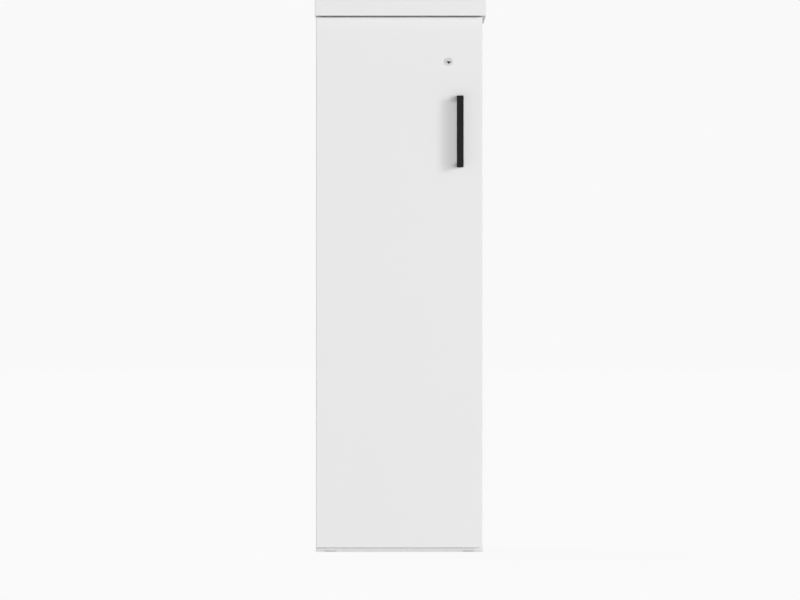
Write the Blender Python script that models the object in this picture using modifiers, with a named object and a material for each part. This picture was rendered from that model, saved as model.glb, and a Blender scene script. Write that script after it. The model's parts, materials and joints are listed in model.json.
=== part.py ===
"""Single-door parcel locker in white laminated board, with its hinges, cam lock, handle, shelves and feet.

Metres, +Z up. The door faces -Y and is hung on the -X side. The origin is the middle of the footprint.
"""

import math

import bmesh
import bpy
from mathutils import Matrix, Vector

# Board carcase
CARCASE_WIDTH = 0.400
CARCASE_DEPTH = 0.430
HEIGHT = 1.327
BOARD = 0.018
TOP_THICK = 0.0388
TOP_OVER_LEFT = 0.0025
TOP_OVER_RIGHT = 0.0085
TOP_OVER_DOOR = 0.020
BASE_GAP = 0.003
BACK_THICK = 0.008
RABBET = 0.009
FIT = 0.0003
EDGE_ROUND = 0.0006

# Door
DOOR_THICK = 0.018
DOOR_REVEAL = 0.0005
DOOR_STANDOFF = 0.003
DOOR_BOTTOM = 0.0115
DOOR_TOP_GAP = 0.003
DOOR_EDGE_ROUND = 0.0015

# Bow handle, measured from the carcase's middle and from the floor
HANDLE_X = 0.1462
HANDLE_LOW = 0.9243
HANDLE_HIGH = 1.0965
HANDLE_WIDE = 0.0163
HANDLE_OUT = 0.032
HANDLE_BAR = 0.009
HANDLE_LEG = 0.012
HANDLE_LEG_WIDE = 0.009
HANDLE_EDGE = 0.0008
HANDLE_SCREW_R = 0.0019
HANDLE_SCREW_HOLE_R = 0.0023
HANDLE_SCREW_THREAD_R = 0.0021
HANDLE_SCREW_REACH = 0.011
HANDLE_SCREW_HEAD_R = 0.0042
HANDLE_SCREW_HEAD = 0.0020

# Shelves on pegs
SHELF_UNDERSIDES = (0.426, 0.849)
SHELF_SETBACK = 0.025
SHELF_SIDE_PLAY = 0.001
PEG_FRONT = 0.062
PEG_BACK = 0.070
PEG_HOLE_R = 0.0025
PEG_HOLE_DEEP = 0.009
PEG_HOLE_PITCH = 0.032
PEG_R = 0.00235
PEG_IN = 0.0082
PEG_COLLAR_R = 0.0045
PEG_COLLAR = 0.0012
PEG_SEAT = (0.009, 0.008, 0.0028)
PEG_BELOW_SHELF = 0.0050

# Levelling feet
FOOT_INSET_X = 0.034
FOOT_INSET_Y = 0.045
FOOT_PAD_R = 0.015
FOOT_PAD = 0.0024
FOOT_STUD_R = 0.0040
FOOT_STUD_TOP = 0.0165
INSERT_HOLE_R = 0.0063
INSERT_HOLE_TOP = 0.0182
INSERT_R = 0.0060
INSERT_BORE_R = 0.0043
INSERT_TOP = 0.0179

# Single-knuckle cup hinges. U runs from the left side panel's inner face into the locker, V from that
# panel's front edge to the back, and W up from the hinge's middle.
HINGE_HEIGHTS = (0.113, 0.650, 1.187)
KNUCKLE_U = -0.009
KNUCKLE_V = -0.013
CUP_U = 0.004
CUP_BORE_R = 0.0175
CUP_BORE_DEEP = 0.0135
CUP_R = 0.0172
CUP_INNER_R = 0.0163
CUP_FLOOR = 0.0007
CUP_FLANGE = (0.0315, 0.0010, 0.056)
CUP_FLANGE_U = 0.0023
DOWEL_U = 0.010
DOWEL_W = 0.024
DOWEL_R = 0.0037
DOWEL_HOLE_R = 0.0040
DOWEL_LONG = 0.0100
LUG_W = (0.0049, 0.0069)
LUG_U = (-0.0113, -0.0055)
LUG_TOP_V = -0.0105
KNUCKLE_PIN_R = 0.0012
KNUCKLE_PIN_HOLE_R = 0.0014
KNUCKLE_PIN_HALF = 0.0076
KNUCKLE_R = 0.0023
ARM_HALF_W = 0.0045
ARM_FOOT_TOP = 0.0012
ARM_LEG_U = (0.0083, 0.0120)
ARM_LEG_TOP_V = 0.020
ARM_BODY_U = (0.0083, 0.0128)
ARM_BODY_V = (0.012, 0.062)
ARM_BODY_HALF_W = 0.0080
PLATE_WING_U = 0.0023
PLATE_WING_V = (0.027, 0.047)
PLATE_WING_HALF_W = 0.026
PLATE_BLOCK_U = 0.0080
PLATE_BLOCK_V = (0.014, 0.060)
PLATE_BLOCK_HALF_W = 0.0065
HINGE_SCREW_V = 0.050
HINGE_SCREW_R = 0.0020
HINGE_SCREW_HOLE_R = 0.0023
HINGE_SCREW_HEAD_R = 0.0038
HINGE_SCREW_HEAD = 0.0018
PLATE_SCREW_V = 0.037
PLATE_SCREW_W = 0.016

# Pan-head wood screws of the mounting plates and the strike angle
WOOD_SCREW_R = 0.0018
WOOD_SCREW_HOLE_R = 0.0021
WOOD_SCREW_LONG = 0.012
WOOD_SCREW_HEAD_R = 0.0038
WOOD_SCREW_HEAD = 0.0016

# Cam lock, measured from the carcase's middle and from the floor
LOCK_X = 0.1188
LOCK_Z = 1.1782
LOCK_BORE_R = 0.0090
LOCK_FLANGE_R = 0.0105
LOCK_FLANGE = 0.0020
LOCK_BODY_R = 0.0087
LOCK_BODY_LONG = 0.0245
LOCK_PLUG_BORE_R = 0.0062
LOCK_PLUG_R = 0.0060
LOCK_PLUG_PROUD = 0.0003
KEYWAY = (0.0090, 0.0060, 0.0023)
LOCK_NUT_R = 0.0125
LOCK_NUT = 0.0027
LOCK_SQUARE = 0.0070
LOCK_SQUARE_LONG = 0.0025
CAM_THICK = 0.0020
CAM_REACH = 0.055
CAM_HUB_R = 0.0085
CAM_TIP_HALF = 0.0070
CAM_SQUARE_HOLE = 0.0074
CAM_SCREW_R = 0.0016
CAM_SCREW_HOLE_R = 0.0018
CAM_SCREW_REACH = 0.008
CAM_SCREW_HEAD_R = 0.0046
CAM_SCREW_HEAD = 0.0022

# Strike angle behind which the cam closes
KEEPER_THICK = 0.0017
KEEPER_LIP = 0.0183
KEEPER_LEG = 0.036
KEEPER_HALF_HIGH = 0.020
KEEPER_SETBACK = 0.0010
KEEPER_SCREW_V = 0.024
KEEPER_SCREW_W = 0.012

# Door buffers
BUFFER_R = 0.0042
BUFFER_THICK = 0.0022
BUFFER_INSET = 0.030

# Facets, and how much heads and flanges narrow towards their outer face
ROUND = 24
SMALL_ROUND = 14
LARGE_ROUND = 40
HEXAGON = 6
HEAD_TAPER = 0.8
FLANGE_TAPER = 0.93
SMOOTH_ANGLE = 40
EDGE_ANGLE = 50
WELD = 1e-6
OVERCUT = 0.001

CENTRE_X = (TOP_OVER_LEFT - TOP_OVER_RIGHT) / 2
LEFT = CENTRE_X - CARCASE_WIDTH / 2
RIGHT = CENTRE_X + CARCASE_WIDTH / 2
INNER_LEFT = LEFT + BOARD
INNER_RIGHT = RIGHT - BOARD
FRONT = (DOOR_STANDOFF + DOOR_THICK + HANDLE_OUT - CARCASE_DEPTH) / 2
BACK = FRONT + CARCASE_DEPTH
DOOR_BACK = FRONT - DOOR_STANDOFF
DOOR_FRONT = DOOR_BACK - DOOR_THICK
TOP_LOW = HEIGHT - TOP_THICK
DOOR_TOP = TOP_LOW - DOOR_TOP_GAP
FLOOR_BOARD_TOP = BASE_GAP + BOARD
AXIS_X = Vector((1, 0, 0))
AXIS_Y = Vector((0, 1, 0))
AXIS_Z = Vector((0, 0, 1))


def clear_scene():
    for obj in list(bpy.data.objects):
        bpy.data.objects.remove(obj, do_unlink=True)


def new_collection(name):
    collection = bpy.data.collections.new(name)
    bpy.context.scene.collection.children.link(collection)
    return collection


def surface(name, colour, roughness, metallic=0.0):
    material = bpy.data.materials.new(name)
    material.use_nodes = True
    shader = material.node_tree.nodes["Principled BSDF"]
    shader.inputs["Base Color"].default_value = (*colour, 1.0)
    shader.inputs["Roughness"].default_value = roughness
    shader.inputs["Metallic"].default_value = metallic
    return material


def add_mesh(name, mesh, collection):
    obj = bpy.data.objects.new(name, mesh)
    collection.objects.link(obj)
    return obj


def box(name, low, high):
    low, high = Vector(low), Vector(high)
    bm = bmesh.new()
    bmesh.ops.create_cube(bm, size=1.0)
    bmesh.ops.scale(bm, vec=high - low, verts=bm.verts)
    bmesh.ops.translate(bm, vec=(low + high) / 2, verts=bm.verts)
    mesh = bpy.data.meshes.new(name)
    bm.to_mesh(mesh)
    bm.free()
    return mesh


def rod(name, start, axis, length, radius, sides, end_radius=None):
    """A round bar from the point start along axis."""
    bm = bmesh.new()
    bmesh.ops.create_cone(
        bm,
        cap_ends=True,
        segments=sides,
        radius1=radius,
        radius2=radius if end_radius is None else end_radius,
        depth=length,
    )
    turn = AXIS_Z.rotation_difference(axis).to_matrix().to_4x4()
    bm.transform(Matrix.Translation(Vector(start) + Vector(axis) * length / 2) @ turn)
    mesh = bpy.data.meshes.new(name)
    bm.to_mesh(mesh)
    bm.free()
    return mesh


def slab(name, outline, half_thick, to_world):
    """A flat outline given thickness both ways, then placed by to_world."""
    curve = bpy.data.curves.new(name, "CURVE")
    curve.dimensions = "2D"
    curve.fill_mode = "BOTH"
    curve.extrude = half_thick
    spline = curve.splines.new("POLY")
    spline.points.add(len(outline) - 1)
    for point, (across, up) in zip(spline.points, outline):
        point.co = (across, up, 0.0, 1.0)
    spline.use_cyclic_u = True
    holder = bpy.data.objects.new(name, curve)
    bpy.context.scene.collection.objects.link(holder)
    graph = bpy.context.evaluated_depsgraph_get()
    mesh = bpy.data.meshes.new_from_object(holder.evaluated_get(graph))
    bpy.data.objects.remove(holder, do_unlink=True)
    bm = bmesh.new()
    bm.from_mesh(mesh)
    bmesh.ops.remove_doubles(bm, verts=bm.verts, dist=WELD)
    bm.transform(to_world)
    bmesh.ops.recalc_face_normals(bm, faces=bm.faces)
    bm.to_mesh(mesh)
    bm.free()
    return mesh


def frame(origin, across, up):
    """The matrix that lays a drawing's first axis along across and its second along up."""
    across, up = Vector(across), Vector(up)
    matrix = Matrix((across, up, across.cross(up))).transposed().to_4x4()
    matrix.translation = Vector(origin)
    return matrix


def arc(centre, radius, start, end, steps):
    """Points on an arc, angles in degrees."""
    angles = [math.radians(start + (end - start) * i / steps) for i in range(steps + 1)]
    return [(centre[0] + radius * math.cos(a), centre[1] + radius * math.sin(a)) for a in angles]


def combine(obj, meshes, operation):
    """Unites or cuts obj with each mesh, with the helpers kept out of sight."""
    for i, mesh in enumerate(meshes):
        helper = add_mesh(f"{obj.name}_{operation.lower()}_{i}", mesh, helpers)
        helper.hide_render = True
        helper.display_type = "WIRE"
        modifier = obj.modifiers.new(helper.name, "BOOLEAN")
        modifier.operation = operation
        modifier.object = helper
        modifier.solver = "EXACT"


def finish(obj, material, origin):
    """Puts the object's origin at the given point and gives it its material."""
    obj.data.transform(Matrix.Translation(-Vector(origin)))
    obj.location = Vector(origin)
    for modifier in obj.modifiers:
        if modifier.type == "BOOLEAN":
            modifier.object.data.transform(Matrix.Translation(-Vector(origin)))
            modifier.object.location = Vector(origin)
    obj.data.materials.append(material)
    return obj


def finish_round(obj, material, origin):
    """The same for a turned piece, whose facets are shaded smooth."""
    finish(obj, material, origin)
    obj.data.shade_smooth()
    obj.data.set_sharp_from_angle(angle=math.radians(SMOOTH_ANGLE))


def middle(low, high):
    return (Vector(low) + Vector(high)) / 2


def round_edges(obj, width, segments=2):
    modifier = obj.modifiers.new("edge_round", "BEVEL")
    modifier.width = width
    modifier.segments = segments
    modifier.limit_method = "ANGLE"
    modifier.angle_limit = math.radians(EDGE_ANGLE)


def board(name, low, high, cutters=(), width=EDGE_ROUND, segments=2, material=None):
    obj = add_mesh(name, box(name, low, high), locker)
    round_edges(obj, width, segments)
    combine(obj, cutters, "DIFFERENCE")
    return finish(obj, material or laminate, middle(low, high))


def rods_cut(name, starts, axis, length, radius, sides):
    return [rod(f"{name}_{i}", start, axis, length, radius, sides) for i, start in enumerate(starts)]


def joined(name, meshes):
    """One mesh out of several that don't touch, so that one Boolean takes them all."""
    bm = bmesh.new()
    for mesh in meshes:
        bm.from_mesh(mesh)
    whole = bpy.data.meshes.new(name)
    bm.to_mesh(whole)
    bm.free()
    return whole


def peg_rows():
    """The (y, z) places of the pegs that are in use, front and back of each shelf."""
    return [
        (y, z - PEG_BELOW_SHELF)
        for z in SHELF_UNDERSIDES
        for y in (FRONT + PEG_FRONT, BACK - PEG_BACK)
    ]


def peg_holes(name, face_x, inward):
    """Blind holes at and on both sides of each peg, drilled from the inner face into the side panel."""
    starts = [
        Vector((face_x + inward * OVERCUT, y, z + step * PEG_HOLE_PITCH))
        for y, z in peg_rows()
        for step in (-1, 0, 1)
    ]
    rods = rods_cut(name, starts, Vector((-inward, 0, 0)), PEG_HOLE_DEEP + OVERCUT, PEG_HOLE_R, SMALL_ROUND)
    return joined(name, rods)


def wing_screw_places(height):
    return [hinge_point(0, PLATE_SCREW_V, w, height) for w in (-PLATE_SCREW_W, PLATE_SCREW_W)]


def plate_screw_places():
    return [place for height in HINGE_HEIGHTS for place in wing_screw_places(height)]


def keeper_screw_places():
    y = FRONT + KEEPER_SETBACK + KEEPER_SCREW_V
    return [Vector((INNER_RIGHT, y, LOCK_Z + w)) for w in (-KEEPER_SCREW_W, KEEPER_SCREW_W)]


def screw_holes(name, places, into):
    """Holes for wood screws, from inside the locker through the fitting and into the panel."""
    starts = [place - into * BOARD / 2 for place in places]
    rods = rods_cut(name, starts, into, BOARD / 2 + WOOD_SCREW_LONG, WOOD_SCREW_HOLE_R, SMALL_ROUND)
    return joined(name, rods)


def build_wood_screw(name, place, into, fitting):
    """A pan-head screw whose head rests on a fitting of the given thickness."""
    head_at = place - into * (fitting + 2 * FIT)
    top_r = WOOD_SCREW_HEAD_R * HEAD_TAPER
    head = rod("head", head_at, -into, WOOD_SCREW_HEAD, WOOD_SCREW_HEAD_R, ROUND, top_r)
    obj = add_mesh(name, head, locker)
    shank_from = head_at - into * WOOD_SCREW_HEAD / 2
    shank = rod("shank", shank_from, into, WOOD_SCREW_LONG, WOOD_SCREW_R, SMALL_ROUND)
    combine(obj, [shank], "UNION")
    finish_round(obj, zinc, head_at)


def rabbet_cutter(name):
    low = (LEFT + RABBET - FIT, BACK - BACK_THICK - FIT, BASE_GAP + RABBET - FIT)
    high = (RIGHT - RABBET + FIT, BACK + BOARD, TOP_LOW - RABBET + FIT)
    return box(name, low, high)


def build_carcase():
    side_low = FLOOR_BOARD_TOP + FIT
    side_high = TOP_LOW - FIT
    board(
        "cover_top",
        (LEFT - TOP_OVER_LEFT, DOOR_FRONT - TOP_OVER_DOOR, TOP_LOW),
        (RIGHT + TOP_OVER_RIGHT, BACK, HEIGHT),
        width=DOOR_EDGE_ROUND,
        segments=3,
    )
    board(
        "carcase_bottom_panel",
        (LEFT, FRONT, BASE_GAP),
        (RIGHT, BACK, FLOOR_BOARD_TOP),
        [rabbet_cutter("bottom_rabbet"), insert_holes("insert_holes")],
    )
    board(
        "carcase_top_panel",
        (INNER_LEFT + FIT, FRONT, side_high - BOARD),
        (INNER_RIGHT - FIT, BACK, side_high),
        [rabbet_cutter("top_rabbet")],
    )
    board(
        "left_side_panel",
        (LEFT, FRONT, side_low),
        (INNER_LEFT, BACK, side_high),
        [
            rabbet_cutter("left_rabbet"),
            peg_holes("left_peg_holes", INNER_LEFT, 1),
            screw_holes("plate_pilot_holes", plate_screw_places(), -AXIS_X),
        ],
    )
    board(
        "right_side_panel",
        (INNER_RIGHT, FRONT, side_low),
        (RIGHT, BACK, side_high),
        [
            rabbet_cutter("right_rabbet"),
            peg_holes("right_peg_holes", INNER_RIGHT, -1),
            screw_holes("keeper_pilot_holes", keeper_screw_places(), AXIS_X),
        ],
    )
    board(
        "back_panel",
        (LEFT + RABBET, BACK - BACK_THICK, BASE_GAP + RABBET),
        (RIGHT - RABBET, BACK, TOP_LOW - RABBET),
        width=EDGE_ROUND / 2,
        segments=1,
        material=backing,
    )


def build_shelves():
    for name, z in zip(("shelf_lower", "shelf_upper"), SHELF_UNDERSIDES):
        board(
            name,
            (INNER_LEFT + SHELF_SIDE_PLAY, FRONT + SHELF_SETBACK, z),
            (INNER_RIGHT - SHELF_SIDE_PLAY, BACK - BACK_THICK - SHELF_SIDE_PLAY, z + BOARD),
        )
    places = ("lower_front", "lower_back", "upper_front", "upper_back")
    for side, face_x, inward in (("left", INNER_LEFT, 1), ("right", INNER_RIGHT, -1)):
        for place, (y, z) in zip(places, peg_rows()):
            build_peg(f"shelf_peg_{place}_{side}", Vector((face_x, y, z)), inward)


def build_peg(name, at, inward):
    """A peg in its hole, with a collar against the panel and a flat seat under the shelf."""
    into = Vector((-inward, 0, 0))
    seat_from = at - into * FIT
    peg = rod(name, seat_from - into * PEG_COLLAR, into, PEG_IN + PEG_COLLAR, PEG_R, SMALL_ROUND)
    obj = add_mesh(name, peg, locker)
    collar = rod("collar", seat_from, -into, PEG_COLLAR, PEG_COLLAR_R, SMALL_ROUND)
    reach, wide, thick = PEG_SEAT
    low_x, high_x = sorted(seat_from.x + inward * out for out in (PEG_COLLAR / 2, PEG_COLLAR + reach))
    seat_top = at.z + PEG_BELOW_SHELF - FIT
    seat = box("seat", (low_x, at.y - wide / 2, seat_top - thick), (high_x, at.y + wide / 2, seat_top))
    combine(obj, [collar, seat], "UNION")
    finish_round(obj, zinc, at)


def foot_places():
    xs = (LEFT + FOOT_INSET_X, RIGHT - FOOT_INSET_X)
    ys = (FRONT + FOOT_INSET_Y, BACK - FOOT_INSET_Y)
    names = ("front_left", "front_right", "back_left", "back_right")
    return list(zip(names, ((x, y) for y in ys for x in xs)))


def insert_holes(name):
    starts = [Vector((x, y, 0.0)) for _, (x, y) in foot_places()]
    return joined(name, rods_cut(name, starts, AXIS_Z, INSERT_HOLE_TOP, INSERT_HOLE_R, ROUND))


def build_feet():
    for place, (x, y) in foot_places():
        floor_point = Vector((x, y, 0.0))
        insert_from = floor_point + AXIS_Z * BASE_GAP
        insert = rod("insert", insert_from, AXIS_Z, INSERT_TOP - BASE_GAP, INSERT_R, ROUND)
        obj = add_mesh(f"foot_insert_{place}", insert, locker)
        bore = rod("bore", floor_point, AXIS_Z, HEIGHT, INSERT_BORE_R, ROUND)
        combine(obj, [bore], "DIFFERENCE")
        finish_round(obj, zinc, insert_from)
        pad = rod("pad", floor_point, AXIS_Z, FOOT_PAD, FOOT_PAD_R, ROUND, FOOT_PAD_R * FLANGE_TAPER)
        obj = add_mesh(f"foot_{place}", pad, locker)
        stud = rod("stud", floor_point + AXIS_Z * FOOT_PAD / 2, AXIS_Z, FOOT_STUD_TOP, FOOT_STUD_R, ROUND)
        combine(obj, [stud], "UNION")
        finish_round(obj, foot_plastic, floor_point)


def hinge_point(u, v, w, height):
    return Vector((INNER_LEFT + u, FRONT + v, height + w))


def hinge_box(name, u, v, half_w, height):
    return box(name, hinge_point(u[0], v[0], -half_w, height), hinge_point(u[1], v[1], half_w, height))


def cup_bore(name, height):
    start = hinge_point(CUP_U, -DOOR_STANDOFF - CUP_BORE_DEEP, 0, height)
    return rod(name, start, AXIS_Y, CUP_BORE_DEEP + BOARD, CUP_BORE_R, LARGE_ROUND)


def dowel_rods(name, height, radius, spare):
    """The two knock-in dowels under a cup's flange, or the holes for them."""
    top = -DOOR_STANDOFF + FIT + CUP_FLANGE[1] / 2
    starts = [hinge_point(DOWEL_U, top, w, height) for w in (-DOWEL_W, DOWEL_W)]
    return rods_cut(name, starts, -AXIS_Y, DOWEL_LONG + spare, radius, ROUND)


def build_cup(name, height):
    """The cup in the door: flange, bowl, and the two lugs that hold the knuckle pin."""
    back_v = -DOOR_STANDOFF
    floor_v = back_v - CUP_BORE_DEEP + FIT
    flange_v = back_v + FIT
    top_v = flange_v + CUP_FLANGE[1]
    bowl = rod(name, hinge_point(CUP_U, floor_v, 0, height), AXIS_Y, top_v - floor_v, CUP_R, LARGE_ROUND)
    obj = add_mesh(name, bowl, locker)
    half_u, half_w = CUP_FLANGE[0] / 2, CUP_FLANGE[2] / 2
    corner = half_u / 2
    outline = []
    for across, up, start in ((1, 1, 0), (-1, 1, 90), (-1, -1, 180), (1, -1, 270)):
        outline += arc((across * (half_u - corner), up * (half_w - corner)), corner, start, start + 90, 5)
    lay = frame(hinge_point(CUP_FLANGE_U, (flange_v + top_v) / 2, 0, height), AXIS_X, AXIS_Z)
    combine(obj, [slab("flange", outline, CUP_FLANGE[1] / 2, lay)], "UNION")
    combine(obj, dowel_rods("dowel", height, DOWEL_R, 0), "UNION")
    hollow = rod(
        "hollow",
        hinge_point(CUP_U, floor_v + CUP_FLOOR, 0, height),
        AXIS_Y,
        CUP_BORE_DEEP + BOARD,
        CUP_INNER_R,
        LARGE_ROUND,
    )
    combine(obj, [hollow], "DIFFERENCE")
    lugs = []
    for side in (-1, 1):
        near, far = sorted((side * LUG_W[0], side * LUG_W[1]))
        low = hinge_point(LUG_U[0], floor_v + CUP_FLOOR / 2, near, height)
        high = hinge_point(LUG_U[1], LUG_TOP_V, far, height)
        lugs.append(box("lug", low, high))
    combine(obj, lugs, "UNION")
    pin_start = hinge_point(KNUCKLE_U, KNUCKLE_V, -KNUCKLE_PIN_HALF - FIT, height)
    hole = rod("pin_hole", pin_start, AXIS_Z, 2 * (KNUCKLE_PIN_HALF + FIT), KNUCKLE_PIN_HOLE_R, SMALL_ROUND)
    combine(obj, [hole], "DIFFERENCE")
    finish_round(obj, nickel, hinge_point(KNUCKLE_U, KNUCKLE_V, 0, height))


def build_arm(name, height):
    """The arm: knuckle, foot and leg in one cranked plate, and the body that sits on the mounting plate."""
    knuckle = (KNUCKLE_U, KNUCKLE_V)
    flat_from = math.degrees(math.asin(ARM_FOOT_TOP / KNUCKLE_R))
    outline = arc(knuckle, KNUCKLE_R, 270, flat_from, 12)
    outline += [
        (ARM_LEG_U[0] - KNUCKLE_R, KNUCKLE_V + ARM_FOOT_TOP),
        (ARM_LEG_U[0], KNUCKLE_V + ARM_FOOT_TOP + KNUCKLE_R),
        (ARM_LEG_U[0], ARM_LEG_TOP_V),
        (ARM_LEG_U[1], ARM_LEG_TOP_V),
        (ARM_LEG_U[1], KNUCKLE_V + ARM_FOOT_TOP),
        (ARM_LEG_U[1] - KNUCKLE_R, KNUCKLE_V - KNUCKLE_R),
    ]
    lay = frame(hinge_point(0, 0, 0, height), AXIS_X, AXIS_Y)
    obj = add_mesh(name, slab(name, outline, ARM_HALF_W, lay), locker)
    combine(obj, [hinge_box("arm_body", ARM_BODY_U, ARM_BODY_V, ARM_BODY_HALF_W, height)], "UNION")
    pin_start = hinge_point(*knuckle, -PLATE_WING_HALF_W, height)
    pin_hole = rod("pin_hole", pin_start, AXIS_Z, 2 * PLATE_WING_HALF_W, KNUCKLE_PIN_HOLE_R, SMALL_ROUND)
    combine(obj, [pin_hole, hinge_screw_rod("screw_hole", HINGE_SCREW_HOLE_R, height)], "DIFFERENCE")
    finish_round(obj, nickel, hinge_point(*knuckle, 0, height))


def hinge_screw_rod(name, radius, height):
    return rod(name, hinge_point(PLATE_WING_U, HINGE_SCREW_V, 0, height), AXIS_X, BOARD, radius, SMALL_ROUND)


def build_mounting_plate(name, height):
    wings = hinge_box(name, (FIT, PLATE_WING_U), PLATE_WING_V, PLATE_WING_HALF_W, height)
    obj = add_mesh(name, wings, locker)
    block = hinge_box("block", (FIT, PLATE_BLOCK_U), PLATE_BLOCK_V, PLATE_BLOCK_HALF_W, height)
    combine(obj, [block], "UNION")
    combine(obj, [hinge_screw_rod("screw_hole", HINGE_SCREW_HOLE_R, height)], "DIFFERENCE")
    places = wing_screw_places(height)
    combine(obj, [screw_holes("wing_holes", places, -AXIS_X)], "DIFFERENCE")
    finish_round(obj, nickel, hinge_point(0, PLATE_SCREW_V, 0, height))
    for end, at in zip(("low", "high"), places):
        build_wood_screw(f"{name}_screw_{end}", at, -AXIS_X, PLATE_WING_U - FIT)


def build_hinges():
    for place, height in zip(("lower", "middle", "upper"), HINGE_HEIGHTS):
        build_cup(f"hinge_cup_{place}", height)
        build_arm(f"hinge_arm_{place}", height)
        build_mounting_plate(f"hinge_plate_{place}", height)
        start = hinge_point(KNUCKLE_U, KNUCKLE_V, -KNUCKLE_PIN_HALF, height)
        pin = rod("pin", start, AXIS_Z, 2 * KNUCKLE_PIN_HALF, KNUCKLE_PIN_R, SMALL_ROUND)
        pin_obj = add_mesh(f"hinge_pin_{place}", pin, locker)
        finish_round(pin_obj, steel, hinge_point(KNUCKLE_U, KNUCKLE_V, 0, height))
        head_at = hinge_point(ARM_BODY_U[1] + FIT, HINGE_SCREW_V, 0, height)
        head = rod("head", head_at, AXIS_X, HINGE_SCREW_HEAD, HINGE_SCREW_HEAD_R, ROUND)
        screw = add_mesh(f"hinge_screw_{place}", head, locker)
        shank_from = hinge_point(PLATE_WING_U + FIT, HINGE_SCREW_V, 0, height)
        shank_long = ARM_BODY_U[1] + HINGE_SCREW_HEAD / 2 - PLATE_WING_U
        combine(screw, [rod("shank", shank_from, AXIS_X, shank_long, HINGE_SCREW_R, SMALL_ROUND)], "UNION")
        finish_round(screw, steel, head_at)


def handle_legs():
    """The heights of the handle's two screws."""
    return (HANDLE_LOW + HANDLE_LEG / 2, HANDLE_HIGH - HANDLE_LEG / 2)


def build_door():
    low = (LEFT + DOOR_REVEAL, DOOR_FRONT, DOOR_BOTTOM)
    high = (RIGHT - DOOR_REVEAL, DOOR_BACK, DOOR_TOP)
    through = DOOR_THICK + BOARD
    screw_starts = [Vector((CENTRE_X + HANDLE_X, DOOR_FRONT - BOARD / 2, z)) for z in handle_legs()]
    cutters = rods_cut("handle_hole", screw_starts, AXIS_Y, through, HANDLE_SCREW_HOLE_R, SMALL_ROUND)
    cutters.append(rod("lock_hole", lock_point(DOOR_FRONT - BOARD / 2), AXIS_Y, through, LOCK_BORE_R, ROUND))
    for i, height in enumerate(HINGE_HEIGHTS):
        cutters.append(cup_bore(f"cup_bore_{i}", height))
        cutters += dowel_rods(f"dowel_hole_{i}", height, DOWEL_HOLE_R, FIT)
    board("door_panel", low, high, [joined("door_holes", cutters)], DOOR_EDGE_ROUND, 3)
    for name, z in (("buffer_lower", DOOR_BOTTOM + BUFFER_INSET), ("buffer_upper", DOOR_TOP - BUFFER_INSET)):
        at = Vector((RIGHT - BOARD / 2, DOOR_BACK + FIT, z))
        buffer_mesh = rod(name, at, AXIS_Y, BUFFER_THICK, BUFFER_R, ROUND, BUFFER_R * HEAD_TAPER)
        finish_round(add_mesh(name, buffer_mesh, locker), clear_plastic, at)


def build_handle():
    """A flat-faced bow: a bar held off the door by two legs that are narrower than the bar."""
    base, front = 0.0, HANDLE_OUT - FIT
    inner = front - HANDLE_BAR
    long = HANDLE_HIGH - HANDLE_LOW
    outline = [
        (base, 0.0),
        (front, 0.0),
        (front, long),
        (base, long),
        (base, long - HANDLE_LEG),
        (inner, long - HANDLE_LEG),
        (inner, HANDLE_LEG),
        (base, HANDLE_LEG),
    ]
    x = CENTRE_X + HANDLE_X
    lay = frame((x, DOOR_FRONT - FIT, HANDLE_LOW), -AXIS_Y, AXIS_Z)
    obj = add_mesh("handle", slab("handle", outline, HANDLE_WIDE / 2, lay), locker)
    leg_sides = []
    for side in (-1, 1):
        low_x, high_x = sorted(x + side * across for across in (HANDLE_LEG_WIDE / 2, HANDLE_WIDE))
        low = (low_x, DOOR_FRONT - FIT - inner, HANDLE_LOW - HANDLE_LEG)
        leg_sides.append(box("leg_side", low, (high_x, DOOR_FRONT + BOARD, HANDLE_HIGH + HANDLE_LEG)))
    combine(obj, leg_sides, "DIFFERENCE")
    round_edges(obj, HANDLE_EDGE)
    starts = [Vector((x, DOOR_FRONT - HANDLE_SCREW_REACH - FIT, z)) for z in handle_legs()]
    holes = rods_cut("thread", starts, AXIS_Y, HANDLE_SCREW_REACH * 2, HANDLE_SCREW_THREAD_R, SMALL_ROUND)
    combine(obj, [joined("threads", holes)], "DIFFERENCE")
    finish(obj, black, (x, DOOR_FRONT, (HANDLE_LOW + HANDLE_HIGH) / 2))
    for place, z in zip(("lower", "upper"), handle_legs()):
        head_at = Vector((x, DOOR_BACK + FIT, z))
        top_r = HANDLE_SCREW_HEAD_R * HEAD_TAPER
        head = rod("head", head_at, AXIS_Y, HANDLE_SCREW_HEAD, HANDLE_SCREW_HEAD_R, ROUND, top_r)
        screw = add_mesh(f"handle_screw_{place}", head, locker)
        shank_long = DOOR_THICK + HANDLE_SCREW_REACH - 4 * FIT
        shank_from = head_at + AXIS_Y * HANDLE_SCREW_HEAD / 2
        combine(screw, [rod("shank", shank_from, -AXIS_Y, shank_long, HANDLE_SCREW_R, SMALL_ROUND)], "UNION")
        finish_round(screw, zinc, head_at)


def lock_point(y):
    return Vector((CENTRE_X + LOCK_X, y, LOCK_Z))


def square_mesh(name, y_from, y_to, side):
    centre = lock_point(0)
    low = (centre.x - side / 2, y_from, centre.z - side / 2)
    return box(name, low, (centre.x + side / 2, y_to, centre.z + side / 2))


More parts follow.
